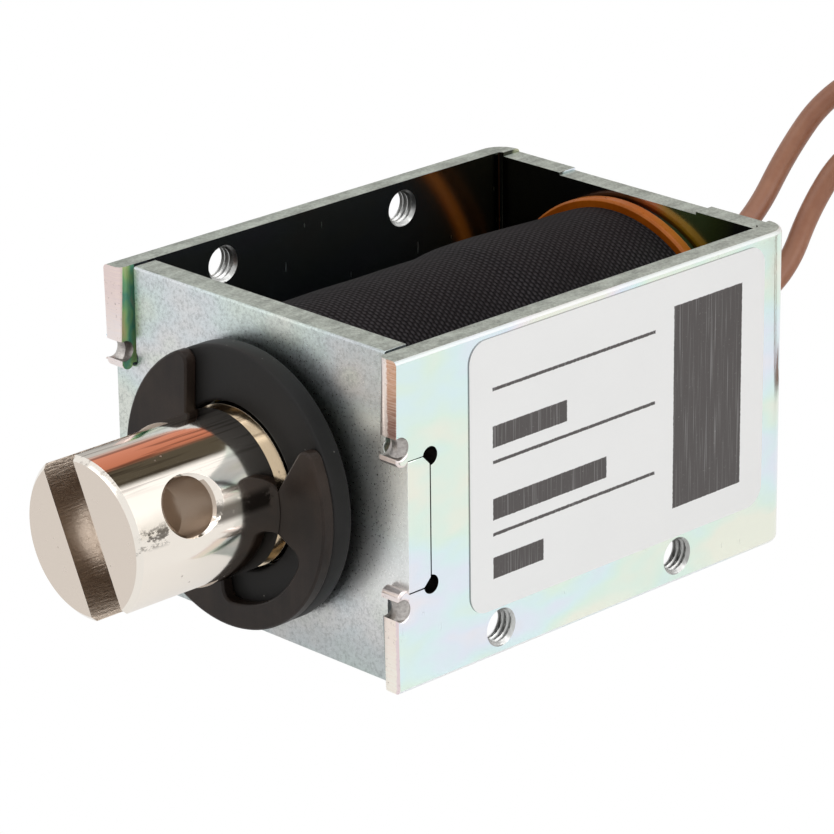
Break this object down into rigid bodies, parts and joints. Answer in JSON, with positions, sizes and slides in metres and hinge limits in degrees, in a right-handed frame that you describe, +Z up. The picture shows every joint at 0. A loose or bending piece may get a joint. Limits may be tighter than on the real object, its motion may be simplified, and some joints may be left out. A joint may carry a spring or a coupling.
{
  "type": "push pull solenoid",
  "caption": "Open-frame push pull solenoid with a slotted plunger, retaining clip, rubber bumper washer, taped coil and flying leads.",
  "frame": {"origin": "middle of the lower side of the object's envelope, measured without the free leads", "axes": "+Y from the slotted end of the plunger to the push rod's tip, +Z up out of the frame's open top, +X towards the labelled side plate"},
  "size_m": [0.0644, 0.1336, 0.0498],
  "materials": {
    "zinc_plate": "satin",
    "nickel_plate": "polished",
    "black_phosphate": "satin",
    "black_rubber": "satin",
    "brass": "satin",
    "bobbin_moulding": "satin",
    "copper_wire": "satin",
    "cloth_tape": "matte",
    "black_fibre": "matte",
    "bare_steel": "satin",
    "stainless": "polished",
    "solder": "satin",
    "lead_insulation": "satin",
    "label_paper": "matte"
  },
  "bodies": {
    "frame": {"frame_body": "zinc_plate", "front_plate": "zinc_plate", "guide_tube": "brass", "bobbin": "bobbin_moulding", "coil_winding": "copper_wire", "splice_pad": "black_fibre", "splice_a": "solder", "splice_b": "solder", "coil_tape": "cloth_tape", "front_insulating_washer": "black_fibre", "rear_insulating_washer": "black_fibre", "backstop": "bare_steel", "residual_washer": "brass", "lead_bushing_a": "black_fibre", "lead_bushing_b": "black_fibre", "lead_a": "lead_insulation", "lead_b": "lead_insulation", "lead_tip_a": "solder", "lead_tip_b": "solder", "label": "label_paper"},
    "clip": {"e_clip": "black_phosphate", "bumper_washer": "black_rubber"},
    "plunger": {"plunger": "nickel_plate", "push_rod": "stainless"}
  },
  "joints": [
    {"name": "plunger_stroke", "type": "slide", "parent": "frame", "child": "clip", "axis": [0, -1, 0], "range_m": [-0.001, 0.014]},
    {"name": "plunger_turn", "type": "hinge", "parent": "clip", "child": "plunger", "pos_m": [0, 0, 0.017], "axis": [0, 1, 0], "continuous": true}
  ]
}
